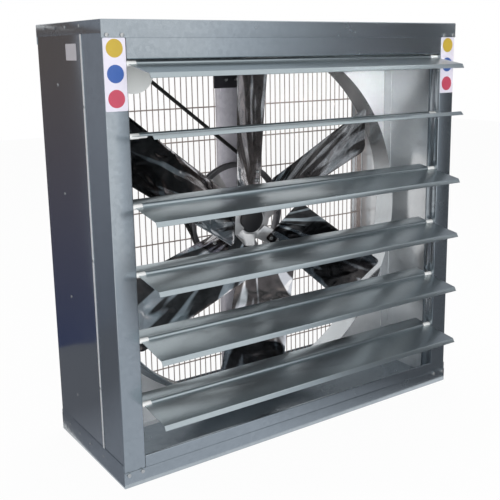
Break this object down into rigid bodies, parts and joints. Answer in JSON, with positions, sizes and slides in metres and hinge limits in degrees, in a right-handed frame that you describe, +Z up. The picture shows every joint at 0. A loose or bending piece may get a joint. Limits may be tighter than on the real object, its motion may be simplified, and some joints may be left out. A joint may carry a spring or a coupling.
{
  "type": "axial exhaust fan",
  "caption": "Square box axial exhaust fan of galvanised sheet with a louvre shutter in front, a black bladed impeller driven by a belt and a wire guard behind.",
  "frame": {"origin": "middle of the casing's base, on the floor", "axes": "+Z up, +X to the right seen from the shutter, shutter faces -Y"},
  "size_m": [1.1036, 0.4999, 1.104],
  "materials": {
    "galvanised_sheet": "hot-dip galvanised",
    "vane_sheet": "galvanised, satin",
    "column_steel": "galvanised",
    "zinc_fasteners": "zinc plated",
    "guard_steel": "zinc plated wire",
    "dark_paint": "satin dark paint",
    "blade_black": "gloss black",
    "cast_aluminium": "cast and machined",
    "motor_paint": "white paint",
    "cap_black": "black",
    "bright_steel": "ground",
    "laminations": "varnished laminations",
    "copper_winding": "enamelled copper",
    "white_plastic": "moulded nylon",
    "black_plastic": "moulded",
    "black_rubber": "belt"
  },
  "bodies": {
    "casing": {"bearing_housing": "dark_paint", "bottom_panel": "galvanised_sheet", "bottom_sill": "galvanised_sheet", "casing_rivets": "zinc_fasteners", "column_bolts": "zinc_fasteners", "column_foot": "column_steel", "column_hanger": "dark_paint", "drive_belt": "black_rubber", "fan_bearings": "bright_steel", "frame_bolts": "zinc_fasteners", "guard_frame": "guard_steel", "guard_screws": "zinc_fasteners", "guard_wires": "guard_steel", "left_post": "galvanised_sheet", "left_side_panel": "galvanised_sheet", "left_stiffener": "galvanised_sheet", "motor_base": "galvanised_sheet", "motor_bearings": "bright_steel", "motor_bolts": "zinc_fasteners", "motor_cover": "motor_paint", "motor_housing": "motor_paint", "orifice_collar": "galvanised_sheet", "orifice_panel": "galvanised_sheet", "right_post": "galvanised_sheet", "right_side_panel": "galvanised_sheet", "right_stiffener": "galvanised_sheet", "stator_core": "laminations", "stator_winding": "copper_winding", "support_column": "column_steel", "terminal_box": "motor_paint", "terminal_gland": "black_plastic", "top_panel": "galvanised_sheet", "top_rail": "galvanised_sheet"},
    "impeller": {"fan_shaft": "bright_steel", "hub": "cast_aluminium", "hub_cap": "cap_black", "blade_bolts": "zinc_fasteners", "pulley_rim": "cast_aluminium", "pulley_spider": "cast_aluminium", "blade_1": "blade_black", "blade_2": "blade_black", "blade_3": "blade_black", "blade_4": "blade_black", "blade_5": "blade_black", "blade_6": "blade_black"},
    "motor_rotor": {"motor_shaft": "bright_steel", "rotor_core": "laminations", "motor_pulley": "cast_aluminium"},
    "louver_1": {"louver_1": "vane_sheet", "louver_1_pivots": "white_plastic"},
    "louver_2": {"louver_2": "vane_sheet", "louver_2_pivots": "white_plastic"},
    "louver_3": {"louver_3": "vane_sheet", "louver_3_pivots": "white_plastic"},
    "louver_4": {"louver_4": "vane_sheet", "louver_4_pivots": "white_plastic"},
    "louver_5": {"louver_5": "vane_sheet", "louver_5_pivots": "white_plastic"},
    "louver_6": {"louver_6": "vane_sheet", "louver_6_pivots": "white_plastic"}
  },
  "joints": [
    {"name": "impeller_spin", "type": "hinge", "parent": "casing", "child": "impeller", "pos_m": [0, 0.058, 0.55], "axis": [0, 1, 0], "continuous": true},
    {"name": "motor_spin", "type": "hinge", "parent": "casing", "child": "motor_rotor", "pos_m": [-0.361, 0.14, 0.9803], "axis": [0, 1, 0], "continuous": true},
    {"name": "louver_1_swing", "type": "hinge", "parent": "casing", "child": "louver_1", "pos_m": [0, -0.183, 1.0045], "axis": [1, 0, 0], "range_deg": [-18, 74]},
    {"name": "louver_2_swing", "type": "hinge", "parent": "casing", "child": "louver_2", "pos_m": [0, -0.183, 0.8427], "axis": [1, 0, 0], "range_deg": [-2, 90]},
    {"name": "louver_3_swing", "type": "hinge", "parent": "casing", "child": "louver_3", "pos_m": [0, -0.183, 0.6809], "axis": [1, 0, 0], "range_deg": [-17.7, 74.3]},
    {"name": "louver_4_swing", "type": "hinge", "parent": "casing", "child": "louver_4", "pos_m": [0, -0.183, 0.5191], "axis": [1, 0, 0], "range_deg": [-16.5, 75.5]},
    {"name": "louver_5_swing", "type": "hinge", "parent": "casing", "child": "louver_5", "pos_m": [0, -0.183, 0.3573], "axis": [1, 0, 0], "range_deg": [-17.3, 74.7]},
    {"name": "louver_6_swing", "type": "hinge", "parent": "casing", "child": "louver_6", "pos_m": [0, -0.183, 0.1955], "axis": [1, 0, 0], "range_deg": [-15.8, 76.2]}
  ],
  "couplings": [
    {"joint": "motor_spin", "follows": "impeller_spin", "ratio": 4}
  ]
}
